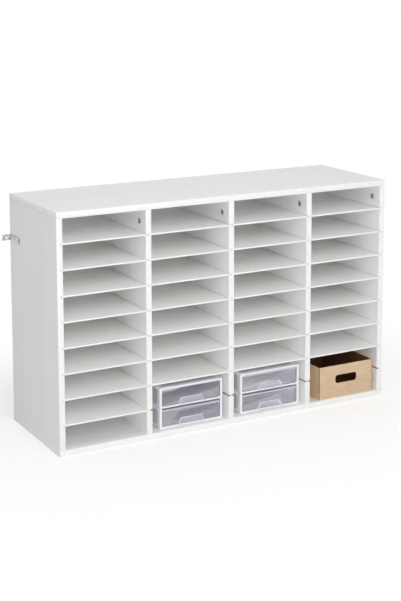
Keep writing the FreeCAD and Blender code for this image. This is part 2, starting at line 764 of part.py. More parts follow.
def tier_frame(label, column, tier):
    """A moulded sleeve with an open front, windows in its walls and runners inside.

    The lower tier has four feet, and it is open above, where the upper tier's floor covers it.
    """
    body = place(new_body(label), *unit_corner(column), tier_level(tier))
    wide, thick, rail, tall = "sizes.unit_width", "sizes.shell", "sizes.bottom_rail", "sizes.tier_height"
    outside = ("0", "0", wide, tall)
    slab(body, "Pad", "XZ_Plane", "0", outside, "sizes.corner_radius", "sizes.unit_depth", False)
    mouth = ("sizes.post", rail, OPENING_WIDTH, OPENING_HEIGHT)
    slab(body, "Pocket", "XZ_Plane", "0", mouth, "sizes.mouth_corner", "sizes.flange_depth", False)
    cavity = (thick, thick, f"{wide} - 2 * {thick}", f"{tall} - 2 * {thick}")
    inside = f"sizes.unit_depth - sizes.flange_depth - {thick}"
    behind = "-sizes.flange_depth"
    slab(body, "Pocket", "XZ_Plane", behind, cavity, None, inside, False)
    for left_side in (True, False):
        for name, level, across, height in (
            ("ledge", thick, "sizes.ledge_width", f"{rail} - {thick}"),
            ("guide", rail, f"(sizes.post - {thick})", "sizes.guide_height"),
        ):
            x = thick if left_side else f"{wide} - {thick} - {across}"
            slab(body, "Pad", "XZ_Plane", behind, (x, level, across, height), None, inside, False)
    if tier == LOWER:
        middle = f"sizes.bottom_rail + {OPENING_HEIGHT} / 2"
        over_mouth = ("sizes.post", "0", OPENING_WIDTH, "sizes.flange_depth")
        over_cavity = (thick, "sizes.flange_depth", f"{wide} - 2 * {thick}", inside)
        for opened in (over_mouth, over_cavity):
            slab(body, "Pocket", "XY_Plane", middle, opened, None, tall)
        foot = "sizes.foot_size"
        radius = "sizes.corner_radius"
        for x in (radius, f"{wide} - {radius} - {foot}"):
            for y in ("0", f"sizes.unit_depth - {foot}"):
                square = (x, y, foot, foot)
                height = f"sizes.foot_height + {thick}"
                slab(body, "Pad", "XY_Plane", "-sizes.foot_height", square, None, height)
    for _, role, hole, level, outward in windows(tier):
        slab(body, "Pocket", role, level, hole, "sizes.window_radius", thick, outward)
        rebate = widened(hole, "sizes.pane_lap")
        corner = "sizes.window_radius + sizes.pane_lap"
        slab(body, "Pocket", role, level, rebate, corner, "sizes.pane", outward)
    return keep(body, label)


def tier_panes(label, column, tier):
    """The clear panes of a tier, each in the rebate behind its window."""
    panes = []
    lap = "(sizes.pane_lap - sizes.pane_play)"
    for name, role, hole, level, outward in windows(tier):
        body = place(new_body(f"{label}_{name}"), *unit_corner(column), tier_level(tier))
        corner = f"sizes.window_radius + {lap}"
        slab(body, "Pad", role, level, widened(hole, lap), corner, "sizes.pane", outward)
        panes.append(body)
    group = doc.addObject("Part::Compound", label)
    group.Links = panes
    return keep(group, label)


def drawer(label, column, tier):
    """A clear tray with a tall front, and on it a hollow finger pull that is open below."""
    left, front = unit_corner(column)
    x = f"({left} + sizes.post + sizes.drawer_play)"
    y = f"({front} + sizes.drawer_front_recess)"
    body = place(new_body(label), x, y, f"({tier_level(tier)} + sizes.bottom_rail)")
    wall, radius = "sizes.drawer_wall", "sizes.drawer_corner"
    low = f"({DRAWER_HEIGHT} - sizes.drawer_wall_drop)"
    slab(body, "Pad", "XY_Plane", "0", ("0", "0", DRAWER_WIDTH, DRAWER_DEPTH), radius, low)
    # The lower edges and the front's corners run parallel to the mouth's round corners.
    parallel = "sizes.mouth_corner - sizes.drawer_play"
    rounded(body, parallel, lambda end: abs(end.z) < TOUCHING)
    face = ("0", "0", DRAWER_WIDTH, DRAWER_HEIGHT)
    slab(body, "Pad", "XZ_Plane", "0", face, parallel, "sizes.drawer_front", False)
    inner_depth = f"{DRAWER_DEPTH} - sizes.drawer_front - {wall}"
    inside = (wall, "sizes.drawer_front", f"{DRAWER_WIDTH} - 2 * {wall}", inner_depth)
    inner_radius = f"{radius} - {wall} / 2"
    slab(body, "Pocket", "XY_Plane", wall, inside, inner_radius, DRAWER_HEIGHT)
    middle = f"{DRAWER_WIDTH} / 2"
    skin = "sizes.pull_wall"
    for kind, inset, reach in (
        ("Pad", "0", "sizes.pull_reach"),
        ("Pocket", skin, f"(sizes.pull_reach - {skin})"),
    ):
        base = f"(sizes.pull_base / 2 - {inset})"
        top = f"(sizes.pull_top / 2 - {inset})"
        high = f"sizes.pull_height - {inset}"
        corners = (
            (f"{middle} - {base}", "0"),
            (f"{middle} + {base}", "0"),
            (f"{middle} + {top}", high),
            (f"{middle} - {top}", high),
        )
        sketch = sketch_on(body, "XZ_Plane", "0")
        outline(sketch, corners)
        extruded(body, kind, sketch, reach, True)
    return keep(body, label)


# --- kraft bin ------------------------------------------------------------------------------------


def kraft_bin(label):
    """An open tray of kraft board with a hand hole in its front."""
    right_wall = f"({column_left(BIN_COLUMN)} + {COLUMN})"
    x = f"({right_wall} - sizes.bin_side_gap - sizes.bin_width)"
    body = place(new_body(label), x, f"({FRONT} + sizes.bin_setback)", "sizes.board")
    wide, deep, thick = "sizes.bin_width", "sizes.bin_depth", "sizes.bin_board"
    slab(body, "Pad", "XY_Plane", "0", ("0", "0", wide, deep), "sizes.bin_corner", "sizes.bin_height")
    inside = (thick, thick, f"{wide} - 2 * {thick}", f"{deep} - 2 * {thick}")
    inner_radius = f"sizes.bin_corner - {thick} / 2"
    slab(body, "Pocket", "XY_Plane", thick, inside, inner_radius, "sizes.bin_height")
    hole = (
        f"({wide} - sizes.hand_hole_width) / 2",
        "sizes.hand_hole_level - sizes.hand_hole_height / 2",
        "sizes.hand_hole_width",
        "sizes.hand_hole_height",
    )
    slab(body, "Pocket", "XZ_Plane", "0", hole, "sizes.hand_hole_radius", thick, False)
    return keep(body, label)


# --- the whole piece of furniture -----------------------------------------------------------------


def build():
    top_panel()
    bottom_panel()
    uprights = ("left_side_panel", "divider_1", "divider_2", "divider_3", "right_side_panel")
    for index, label in enumerate(uprights):
        upright(index, label)
    back_panel()
    for column, count in enumerate(SHELVES_IN_COLUMN, start=1):
        for number in range(1, count + 1):
            shelf(column, number)
    cam_locks()
    cam_bolts()
    dowels()
    base_screws()
    back_nails()
    wall_bracket("wall_bracket_left", True)
    wall_bracket("wall_bracket_right", False)
    bracket_screws()
    for column in ORGANISER_COLUMNS:
        for tier, name in enumerate(TIERS):
            label = f"organiser_{column}_{name}"
            tier_frame(f"{label}_frame", column, tier)
            tier_panes(f"{label}_panes", column, tier)
            drawer(f"{label}_drawer", column, tier)
    kraft_bin("kraft_bin")


def check():
    """Stops on any failed object or broken shape."""
    for thing in doc.Objects:
        if "Invalid" in thing.State or "Error" in thing.State:
            raise RuntimeError(f"{thing.Label} did not compute: {thing.State}")
    for node in nodes:
        if node.Shape.isNull() or not node.Shape.isValid() or not node.Shape.Solids:
            raise RuntimeError(f"{node.Label} has no valid shape")


def export():
    os.makedirs("parts", exist_ok=True)
    for node in nodes:
        node.Shape.exportStep(os.path.join("parts", f"{node.Label}.step"))
        print(node.Label, len(node.Shape.Solids), "solids", round(node.Shape.Volume), "mm3")


build()
doc.recompute()
check()
export()
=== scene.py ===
import json
import math
from contextlib import contextmanager

import bmesh
import bpy
from mathutils import Matrix, Vector

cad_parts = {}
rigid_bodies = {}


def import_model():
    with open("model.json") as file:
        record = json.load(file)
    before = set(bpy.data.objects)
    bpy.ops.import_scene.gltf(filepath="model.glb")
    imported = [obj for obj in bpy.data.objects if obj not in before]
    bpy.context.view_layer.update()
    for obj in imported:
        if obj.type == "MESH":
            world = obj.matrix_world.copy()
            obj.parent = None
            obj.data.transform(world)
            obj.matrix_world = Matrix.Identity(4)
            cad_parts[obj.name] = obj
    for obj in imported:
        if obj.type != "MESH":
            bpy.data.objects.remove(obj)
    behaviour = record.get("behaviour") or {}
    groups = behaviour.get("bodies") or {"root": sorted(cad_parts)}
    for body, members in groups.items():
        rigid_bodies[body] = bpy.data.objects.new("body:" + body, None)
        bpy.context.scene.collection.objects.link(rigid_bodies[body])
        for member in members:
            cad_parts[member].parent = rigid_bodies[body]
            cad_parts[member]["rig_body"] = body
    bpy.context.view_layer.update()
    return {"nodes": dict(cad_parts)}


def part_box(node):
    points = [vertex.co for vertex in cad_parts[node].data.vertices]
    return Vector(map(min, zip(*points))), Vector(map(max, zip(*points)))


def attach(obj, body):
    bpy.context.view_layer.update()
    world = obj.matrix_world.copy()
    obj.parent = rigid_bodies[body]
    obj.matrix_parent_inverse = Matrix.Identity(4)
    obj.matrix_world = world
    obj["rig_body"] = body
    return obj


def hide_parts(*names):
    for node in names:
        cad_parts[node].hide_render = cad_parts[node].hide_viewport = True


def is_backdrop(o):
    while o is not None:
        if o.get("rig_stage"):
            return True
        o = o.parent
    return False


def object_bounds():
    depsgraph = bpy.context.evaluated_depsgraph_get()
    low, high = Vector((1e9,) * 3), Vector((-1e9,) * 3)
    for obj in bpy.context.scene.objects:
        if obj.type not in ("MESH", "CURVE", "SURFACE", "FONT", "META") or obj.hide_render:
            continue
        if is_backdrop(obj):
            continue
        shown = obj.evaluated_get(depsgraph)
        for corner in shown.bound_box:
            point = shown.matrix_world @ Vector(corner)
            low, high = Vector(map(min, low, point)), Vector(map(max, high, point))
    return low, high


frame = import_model()
nodes = frame["nodes"]
scene = bpy.context.scene

MM = 0.001
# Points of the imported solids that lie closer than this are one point.
TOUCHING = 0.01 * MM
# The picture's height in pixels, and the camera's film in millimetres.
PICTURE_HEIGHT = 601
FILM = 36.0


# --- materials ----------------------------------------------------------------------------

# Noise lies mostly between these values, which stand for a pattern's low and high ends.
MIDDLE = {"From Min": 0.35, "From Max": 0.65}


def linear(colour):
    """The linear RGBA of an sRGB hex colour such as "#f4f4f3"."""
    channels = [int(colour[start : start + 2], 16) / 255 for start in (1, 3, 5)]
    return (*[c / 12.92 if c <= 0.04045 else ((c + 0.055) / 1.055) ** 2.4 for c in channels], 1.0)


def add(tree, kind, inputs=None, stops=(), **settings):
    """Adds a node with its settings and links.

    An input takes a plain value, an output, or a node, which stands for its first output.
    stops are a colour ramp's places and hex colours.
    """
    made = tree.nodes.new(f"ShaderNode{kind}")
    for name, setting in settings.items():
        setattr(made, name, setting)
    for name, given in (inputs or {}).items():
        source = given.outputs[0] if isinstance(given, bpy.types.Node) else given
        if isinstance(source, bpy.types.NodeSocket):
            tree.links.new(source, made.inputs[name])
        else:
            made.inputs[name].default_value = source
    for number, (position, colour) in enumerate(stops):
        elements = made.color_ramp.elements
        element = elements[number] if number < len(elements) else elements.new(position)
        element.position = position
        element.color = linear(colour)
    return made


def new_material(name):
    """An empty material, its nodes, and the object coordinates that its patterns lie in."""
    material = bpy.data.materials.new(name)
    material.use_nodes = True
    tree = material.node_tree
    tree.nodes.clear()
    return material, tree, add(tree, "TexCoord").outputs["Object"]


def finished(material, tree, shader):
    add(tree, "OutputMaterial", {"Surface": shader})
    return material


def per_metre(*periods):
    """How often patterns with these periods, in millimetres, come in a metre."""
    return [1 / (period * MM) for period in periods]


def weighed(tree, patterns, weights):
    """The sum of up to three patterns, each times its weight."""
    three = add(tree, "CombineXYZ", dict(enumerate(patterns)))
    padded = [*weights, 0, 0][:3]
    return add(tree, "VectorMath", {0: three, 1: padded}, operation="DOT_PRODUCT").outputs["Value"]


def melamine(name, along):
    """White decor paper pressed hot onto chipboard: a satin white skin with faint long streaks.

    The press plate leaves shallow wood pores along the board, which break up its shine.
    """
    material, tree, place = new_material(name)

    def laid(length, width):
        """Coordinates in which a unit is one period long along the board and one across it."""
        periods = [length if axis == along else width for axis in "xyz"]
        return add(tree, "Mapping", {"Vector": place, "Scale": per_metre(*periods)})

    streaks = add(tree, "TexNoise", {"Vector": laid(260, 5), "Scale": 1, "Detail": 4})
    bands = add(tree, "TexNoise", {"Vector": laid(900, 34), "Scale": 1, "Detail": 2})
    # Real pores are about 0.3 mm wide; these are drawn at 1.3 mm so that they show.
    pores = add(tree, "TexNoise", {"Vector": laid(22, 1.3), "Scale": 1, "Detail": 2})
    tone = weighed(tree, (streaks, bands, pores), (0.5, 0.35, 0.15))
    whites = ((0.36, "#f1f1f1"), (0.5, "#f4f4f4"), (0.64, "#f6f6f5"))
    relief = weighed(tree, (pores, streaks), (0.6, 0.4))
    shader = add(
        tree,
        "BsdfPrincipled",
        {
            "Base Color": add(tree, "ValToRGB", {"Fac": tone}, whites),
            "Roughness": add(tree, "MapRange", {**MIDDLE, "Value": streaks, "To Min": 0.4, "To Max": 0.52}),
            "IOR": 1.5,
            "Normal": add(tree, "Bump", {"Height": relief, "Distance": 0.12 * MM}),
        },
    )
    return finished(material, tree, shader)


def edge_band():
    """Extruded ABS edge strip: an even white, a little brighter and smoother than the decor paper."""
    material, tree, place = new_material("abs_edge_band_white")
    ripple = add(tree, "TexNoise", {"Vector": place, "Scale": 1 / (14 * MM), "Detail": 2})
    matting = add(tree, "TexNoise", {"Vector": place, "Scale": 1 / (3 * MM), "Detail": 3})
    whites = ((0.35, "#f3f3f2"), (0.65, "#f8f8f7"))
    shader = add(
        tree,
        "BsdfPrincipled",
        {
            "Base Color": add(tree, "ValToRGB", {"Fac": ripple}, whites),
            "Roughness": add(tree, "MapRange", {**MIDDLE, "Value": matting, "To Min": 0.3, "To Max": 0.4}),
            "IOR": 1.52,
            "Normal": add(tree, "Bump", {"Height": ripple, "Distance": 0.05 * MM}),
        },
    )
    return finished(material, tree, shader)


def chipboard():
    """Pressed wood chips, as sawn or drilled: blond and brown flecks with a rough, open surface."""
    material, tree, place = new_material("chipboard_core_sawn")
    # Chips of about 1.8 mm.
    chips = add(tree, "TexVoronoi", {"Vector": place, "Scale": 1 / (1.8 * MM)})
    level = add(tree, "SeparateColor", {0: chips.outputs["Color"]})
    flecks = ((0.0, "#7d6650"), (0.35, "#a58a6b"), (0.7, "#bfa684"), (1.0, "#d6c3a3"))
    shader = add(
        tree,
        "BsdfPrincipled",
        {
            "Base Color": add(tree, "ValToRGB", {"Fac": level}, flecks),
            "Roughness": 0.9,
            "Normal": add(tree, "Bump", {"Height": chips.outputs["Distance"], "Distance": 0.5 * MM}),
        },
    )
    return finished(material, tree, shader)


def groove_sealer_and_shade():
    """White sealer rolled into a milled groove: thin and dull over the open chips, and a little grey as
    painted shade inside the groove.
    """
    material, tree, place = new_material("groove_sealer_painted_shade")
    chips = add(tree, "TexNoise", {"Vector": place, "Scale": 1 / (2.5 * MM), "Detail": 3})
    greys = ((0.38, "#c4c3c1"), (0.62, "#dedddb"))
    shader = add(
        tree,
        "BsdfPrincipled",
        {
            "Base Color": add(tree, "ValToRGB", {"Fac": chips}, greys),
            "Roughness": 0.75,
            "Normal": add(tree, "Bump", {"Height": chips, "Distance": 0.15 * MM}),
        },
    )
    return finished(material, tree, shader)


def lacquered_hardboard():
    """Thin hardboard with a rolled white lacquer: smooth, with the roller's fine stipple."""
    material, tree, place = new_material("hardboard_white_lacquer")
    stipple = add(tree, "TexNoise", {"Vector": place, "Scale": 1 / (2.2 * MM), "Detail": 2})
    clouds = add(tree, "TexNoise", {"Vector": place, "Scale": 1 / (60 * MM), "Detail": 2})
    tone = weighed(tree, (stipple, clouds), (0.4, 0.6))
    whites = ((0.38, "#f5f5f4"), (0.62, "#f8f8f7"))
    shader = add(
        tree,
        "BsdfPrincipled",
        {
            "Base Color": add(tree, "ValToRGB", {"Fac": tone}, whites),
            "Roughness": add(tree, "MapRange", {**MIDDLE, "Value": clouds, "To Min": 0.36, "To Max": 0.46}),
            "IOR": 1.5,
            "Normal": add(tree, "Bump", {"Height": stipple, "Distance": 0.06 * MM}),
        },
    )
    return finished(material, tree, shader)


def back_hardboard(white_until):
    """Hardboard lacquered on its inner face only; outside it is bare, with a brown fibre felt."""
    material, tree, place = new_material("hardboard_white_inside_bare_outside")
    depth = add(tree, "SeparateXYZ", {0: place}).outputs["Y"]
    bare = add(tree, "Math", {0: depth, 1: white_until}, operation="GREATER_THAN")
    felt = add(tree, "Mapping", {"Vector": place, "Scale": per_metre(7, 7, 2.5)})
    fibres = add(tree, "TexNoise", {"Vector": felt, "Scale": 1, "Detail": 5, "Distortion": 0.8})
    clouds = add(tree, "TexNoise", {"Vector": place, "Scale": 1 / (90 * MM), "Detail": 2})
    flecks = add(tree, "TexNoise", {"Vector": place, "Scale": 1 / (2.4 * MM), "Detail": 1})
    tone = weighed(tree, (fibres, clouds, flecks), (0.45, 0.25, 0.3))
    browns = ((0.36, "#7c5838"), (0.5, "#96704b"), (0.66, "#b08a63"))
    brown = add(tree, "ValToRGB", {"Fac": tone}, browns)
    white = add(tree, "ValToRGB", {"Fac": clouds}, ((0.38, "#f4f4f3"), (0.62, "#f7f7f6")))
    relief = weighed(tree, (fibres, flecks), (0.6, 0.4))
    shader = add(
        tree,
        "BsdfPrincipled",
        {
            "Base Color": add(tree, "Mix", {0: bare, 6: white, 7: brown}, data_type="RGBA").outputs[2],
            "Roughness": add(tree, "MapRange", {"Value": bare, "To Min": 0.42, "To Max": 0.72}),
            "IOR": 1.5,
            "Normal": add(tree, "Bump", {"Height": relief, "Distance": 0.08 * MM}),
        },
    )
    return finished(material, tree, shader)


def metal(name, dark, light, roughness, crystal):
    """Zinc in one of its finishes: a grey metal, clouded by crystals of the given size."""
    material, tree, place = new_material(name)
    clouds = add(tree, "TexNoise", {"Vector": place, "Scale": 1 / (crystal * MM), "Detail": 4})
    fine = add(tree, "TexNoise", {"Vector": place, "Scale": 1 / (0.7 * MM), "Detail": 2})
    tone = weighed(tree, (clouds, fine), (0.7, 0.3))
    gloss = {**MIDDLE, "Value": tone, "To Min": roughness - 0.08, "To Max": roughness + 0.08}
    shader = add(
        tree,
        "BsdfPrincipled",
        {
            "Base Color": add(tree, "ValToRGB", {"Fac": tone}, ((0.36, dark), (0.64, light))),
            "Metallic": 1.0,
            "Roughness": add(tree, "MapRange", gloss),
            "Normal": add(tree, "Bump", {"Height": fine, "Distance": 0.02 * MM}),
        },
    )
    return finished(material, tree, shader)


def beech():
    """Turned beech: pale pinkish tan with fine lengthwise grain and short darker rays."""
    material, tree, place = new_material("beech_turned")
    lengthwise = add(tree, "Mapping", {"Vector": place, "Scale": per_metre(0.8, 0.8, 14)})
    short = add(tree, "Mapping", {"Vector": place, "Scale": per_metre(0.5, 0.5, 3)})
    grains = add(tree, "TexNoise", {"Vector": lengthwise, "Scale": 1, "Detail": 3})
    rays = add(tree, "TexNoise", {"Vector": short, "Scale": 1, "Detail": 1})
    tone = weighed(tree, (grains, rays), (0.7, 0.3))
    tans = ((0.35, "#b98f63"), (0.5, "#d0a97c"), (0.65, "#dcbb92"))
    shader = add(
        tree,
        "BsdfPrincipled",
        {
            "Base Color": add(tree, "ValToRGB", {"Fac": tone}, tans),
            "Roughness": 0.65,
            "Normal": add(tree, "Bump", {"Height": tone, "Distance": 0.08 * MM}),
        },
    )
    return finished(material, tree, shader)


def moulded_white():
    """Glossy white polystyrene, injection moulded: an even cool white with slight flow waves."""
    material, tree, place = new_material("polystyrene_white_moulded")
    waves = add(tree, "TexNoise", {"Vector": place, "Scale": 1 / (28 * MM), "Detail": 1})
    whites = ((0.35, "#f3f3f5"), (0.65, "#f7f7f9"))
    shader = add(
        tree,
        "BsdfPrincipled",
        {
            "Base Color": add(tree, "ValToRGB", {"Fac": waves}, whites),
            "Roughness": add(tree, "MapRange", {**MIDDLE, "Value": waves, "To Min": 0.14, "To Max": 0.22}),
            "IOR": 1.59,
            "Normal": add(tree, "Bump", {"Height": waves, "Distance": 0.15 * MM}),
        },
    )
    return finished(material, tree, shader)


def clear_plastic(name, roughness, milk):
    """Crystal polystyrene in a thin wall: clear, faintly milky, with a gloss that grows at a slant.

    milk is the share of the wall's skin that shows as pale plastic where it is seen square on.
    """
    material, tree, place = new_material(name)
    waves = add(tree, "TexNoise", {"Vector": place, "Scale": 1 / (35 * MM), "Detail": 1})
    pales = ((0.3, "#f3f3fb"), (0.7, "#f8f8fe"))
    skin = add(
        tree,
        "BsdfPrincipled",
        {
            "Base Color": add(tree, "ValToRGB", {"Fac": waves}, pales),
            "Roughness": roughness,
            "IOR": 1.59,
            "Normal": add(tree, "Bump", {"Height": waves, "Distance": 0.1 * MM}),
        },
    )
    open_wall = add(tree, "BsdfTransparent")
    gloss = add(tree, "Fresnel", {"IOR": 1.59})
    share = add(tree, "MapRange", {"Value": gloss, "From Min": 0.05, "To Min": milk, "To Max": 0.7})
    # Most of the light that meets a clear wall goes on through it, so its shadow is faint.
    lamps = add(tree, "LightPath").outputs["Is Shadow Ray"]
    faint = add(tree, "MapRange", {"Value": lamps, "To Min": 1.0, "To Max": 0.1})
    skinned = add(tree, "Math", {0: share, 1: faint}, operation="MULTIPLY")
    return finished(material, tree, add(tree, "MixShader", {0: skinned, 1: open_wall, 2: skin}))


def kraft(name, dark, middle, light):
    """Kraft paper on greyboard: matt, with fine level streaks from its rolling and soft clouding."""
    material, tree, place = new_material(name)
    level = add(tree, "Mapping", {"Vector": place, "Scale": per_metre(24, 24, 1.6)})
    fibres = add(tree, "TexNoise", {"Vector": level, "Scale": 1, "Detail": 4, "Distortion": 0.4})
    specks = add(tree, "TexNoise", {"Vector": place, "Scale": 1 / (2.6 * MM), "Detail": 1})
    clouds = add(tree, "TexNoise", {"Vector": place, "Scale": 1 / (45 * MM), "Detail": 2})
    tone = weighed(tree, (fibres, specks, clouds), (0.5, 0.2, 0.3))
    browns = ((0.36, dark), (0.5, middle), (0.64, light))
    relief = weighed(tree, (fibres, specks), (0.5, 0.5))
    shader = add(
        tree,
        "BsdfPrincipled",
        {
            "Base Color": add(tree, "ValToRGB", {"Fac": tone}, browns),
            "Roughness": 0.86,
            "IOR": 1.45,
            "Normal": add(tree, "Bump", {"Height": relief, "Distance": 0.1 * MM}),
        },
    )
    return finished(material, tree, shader)


MELAMINE_UPRIGHT = melamine("melamine_wood_pore_upright", "z")
MELAMINE_LENGTHWISE = melamine("melamine_wood_pore_lengthwise", "x")
EDGE_BAND = edge_band()
CHIPBOARD = chipboard()
# Grey-white: the groove's sealer, greyed a little as painted shade in the groove.
GROOVE_SEALER_AND_SHADE = groove_sealer_and_shade()
LACQUERED_HARDBOARD = lacquered_hardboard()
BACK_HARDBOARD = back_hardboard(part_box("back_panel")[0].y + 0.5 * MM)
DIECAST = metal("zinc_die_cast_dull", "#b4b5b8", "#d6d7d9", 0.55, 3)
ZINC_PLATE = metal("steel_zinc_plated", "#b6b5b2", "#dddbd6", 0.34, 6)
# Near-black metal: painted shade for the shadow along the brackets' thin sheet edges.
BRACKET_EDGE_PAINTED_SHADE = metal("steel_edge_painted_shade", "#2a2a2b", "#444445", 0.5, 2)
ZINC_PASSIVATED = metal("steel_zinc_passivated", "#a9a48f", "#cfcab4", 0.36, 2)
BEECH = beech()
MOULDED_WHITE = moulded_white()
CLEAR = clear_plastic("polystyrene_clear_polished", 0.06, 0.02)
MILKY = clear_plastic("polystyrene_clear_tray_floor", 0.2, 0.3)
FROSTED = clear_plastic("polystyrene_clear_frosted", 0.3, 0.1)
# Almost opaque white: a painted highlight along the trays' top edges and the pull's rim.
EDGE_PAINTED_HIGHLIGHT = clear_plastic("polystyrene_clear_edge_painted_highlight", 0.2, 0.9)
KRAFT = kraft("kraft_board_natural", "#cfb28e", "#d8bd9c", "#dfc7a8")
# Lighter kraft on the bin's cut top rim: a painted highlight where it faces the lamps above.
KRAFT_RIM_PAINTED_HIGHLIGHT = kraft("kraft_board_rim_painted_highlight", "#e2cfb0", "#ebdcc2", "#f1e5d0")
# Dark brown inside the bin: painted shade for the shadow that the shelf above casts into it.
KRAFT_INSIDE_PAINTED_SHADE = kraft("kraft_board_inside_painted_shade", "#6b4629", "#7a5334", "#875e3d")
# Darker kraft where the front turns round its corners: painted shade on the rounding.
KRAFT_FOLD_PAINTED_SHADE = kraft("kraft_board_fold_painted_shade", "#7d6043", "#8d6f50", "#9a7c5c")


# --- modelling ----------------------------------------------------------------------------


def only(piece):
    """Selects one piece and nothing else, and makes it active."""
    bpy.ops.object.select_all(action="DESELECT")
    piece.select_set(True)
    bpy.context.view_layer.objects.active = piece


@contextmanager
def editing(piece):
    only(piece)
    bpy.ops.object.mode_set(mode="EDIT")
    yield
    bpy.ops.object.mode_set(mode="OBJECT")


def pick(piece, kind, test):
    """Selects, in edit mode, the faces or edges that pass the test, and nothing else."""
    bpy.ops.mesh.select_mode(type=kind)
    bpy.ops.mesh.select_all(action="DESELECT")
    mesh = bmesh.from_edit_mesh(piece.data)
    for item in mesh.faces if kind == "FACE" else mesh.edges:
        if test(item):
            item.select_set(True)
    bmesh.update_edit_mesh(piece.data)


def settled(piece):
    """Puts the piece's place into its mesh, so that its object sits at the origin."""
    only(piece)
    bpy.ops.object.transform_apply(location=True, rotation=True, scale=True)
    return piece


def facing_up(face):
    return face.normal.z > 0.9


def block(name, low, high):
    """A box from its low corner to its high corner."""
    low, high = Vector(low), Vector(high)
    bpy.ops.mesh.primitive_cube_add(size=1, location=(low + high) / 2, scale=high - low)
    piece = bpy.context.object
    piece.name = name
    return settled(piece)


def turned(name, radius, length, start, sides=48):
    """A round bar that stands on its start point, with its axis along Z."""
    middle = Vector(start) + Vector((0, 0, length / 2))
    bpy.ops.mesh.primitive_cylinder_add(vertices=sides, radius=radius, depth=length, location=middle)
    piece = bpy.context.object
    piece.name = name
    return settled(piece)


def copied(piece, name, matrix):
    """A copy with its own mesh, moved by the matrix."""
    twin = bpy.data.objects.new(name, piece.data.copy())
    scene.collection.objects.link(twin)
    twin.data.transform(matrix)
    return twin


def joined(name, pieces):
    bpy.ops.object.select_all(action="DESELECT")
    for piece in pieces:
        piece.select_set(True)
    bpy.context.view_layer.objects.active = pieces[0]
    bpy.ops.object.join()
    pieces[0].name = name
    return pieces[0]


def smoothed(piece, angle=30):
    only(piece)
    bpy.ops.object.shade_smooth_by_angle(angle=math.radians(angle))
    return piece


def cleaned():
    """Merges, in edit mode, points that a cut or a rounding left on one another."""
    bpy.ops.mesh.select_all(action="SELECT")
    bpy.ops.mesh.remove_doubles(threshold=TOUCHING)
    bpy.ops.mesh.dissolve_degenerate(threshold=TOUCHING)


def carved(piece, cutter):
    """Cuts one solid out of another and uses the cutter up."""
    only(piece)
    cut = piece.modifiers.new("carve", "BOOLEAN")
    cut.object = cutter
    cut.solver = "EXACT"
    bpy.ops.object.modifier_apply(modifier=cut.name)
    bpy.data.objects.remove(cutter)
    with editing(piece):
        cleaned()
    return piece


def softened(piece, width, test, segments=2):
    """Rounds the edges that pass the test."""
    with editing(piece):
        pick(piece, "EDGE", test)
        bpy.ops.mesh.bevel(offset=width, segments=segments, affect="EDGES", clamp_overlap=False)
        cleaned()
    return piece


def coated(piece, *materials, choose=None):
    """Gives the piece its materials. choose(centre, normal) says which of them a face takes."""
    piece.data.materials.clear()
    for material in materials:
        piece.data.materials.append(material)
    if choose:
        for face in piece.data.polygons:
            face.material_index = choose(face.center, face.normal)
    return piece


def outer_planes(low, high, point):
    """The sides of the box from low to high that the point lies on."""
    return {
        (axis, side)
        for side, corner in enumerate((low, high))
        for axis in range(3)
        if abs(point[axis] - corner[axis]) < TOUCHING
    }


def arris(low, high):
    """A test for the edges where two outer sides of a board meet."""

    def test(edge):
        first, last = (outer_planes(low, high, end.co) for end in edge.verts)
        return len(first & last) >= 2

    return test


def merged(name, node):
    """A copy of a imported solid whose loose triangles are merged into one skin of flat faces."""
    piece = bpy.data.objects.new(name, nodes[node].data.copy())
    scene.collection.objects.link(piece)
    only(piece)
    bpy.ops.mesh.customdata_custom_splitnormals_clear()
    with editing(piece):
        bpy.ops.mesh.select_all(action="SELECT")
        bpy.ops.mesh.remove_doubles(threshold=TOUCHING)
        bpy.ops.mesh.dissolve_limited(angle_limit=math.radians(0.5))
    return piece


def installed(piece, node):
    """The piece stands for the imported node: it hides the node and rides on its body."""
    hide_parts(node)
    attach(piece, nodes[node]["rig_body"])
    return piece


# --- cabinet ------------------------------------------------------------------------------

# The edge strips' rounding, and the lacquered sheets' broken edge.
BAND_RADIUS = 0.8 * MM
SHEET_RADIUS = 0.4 * MM
UPRIGHTS = ("left_side_panel", "divider_1", "divider_2", "divider_3", "right_side_panel")


def faced_board(node, decor, faces_along, banded_ends):
    """A board with decor paper on its broad faces, and edge strips on its front and any banded ends."""
    paper, band, core, sealer_and_shade = range(4)
    low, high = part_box(node)
    piece = merged(f"{node}_faced", node)
    softened(piece, BAND_RADIUS, arris(low, high))

    def finish(centre, normal):
        axis = max(range(3), key=lambda number: abs(normal[number]))
        margin = min(abs(centre[axis] - low[axis]), abs(centre[axis] - high[axis]))
        if centre.y < low.y + BAND_RADIUS and normal.y < -0.3:
            return band
        if margin >= BAND_RADIUS:
            # Faces inside a groove take the grey sealer, greyed partly as painted shade.
            return sealer_and_shade if abs(normal[axis]) > 0.999 else core
        if axis == faces_along:
            return paper
        return band if banded_ends and axis == 0 else core

    coated(piece, decor, EDGE_BAND, CHIPBOARD, GROOVE_SEALER_AND_SHADE, choose=finish)
    smoothed(piece)
    return installed(piece, node)


for label in ("top_panel", "bottom_panel"):
    faced_board(label, MELAMINE_LENGTHWISE, 2, True)
for label in UPRIGHTS:
    faced_board(label, MELAMINE_UPRIGHT, 0, False)

shelves = sorted(name for name in nodes if name.startswith("shelf_"))
first_low, first_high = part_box(shelves[0])
pattern_shelf = block("pattern_shelf", first_low, first_high)
softened(pattern_shelf, SHEET_RADIUS, arris(first_low, first_high))
coated(smoothed(pattern_shelf), LACQUERED_HARDBOARD)
for label in shelves:
    shift = Matrix.Translation(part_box(label)[0] - first_low)
    installed(copied(pattern_shelf, f"{label}_sheet", shift), label)
bpy.data.objects.remove(pattern_shelf)

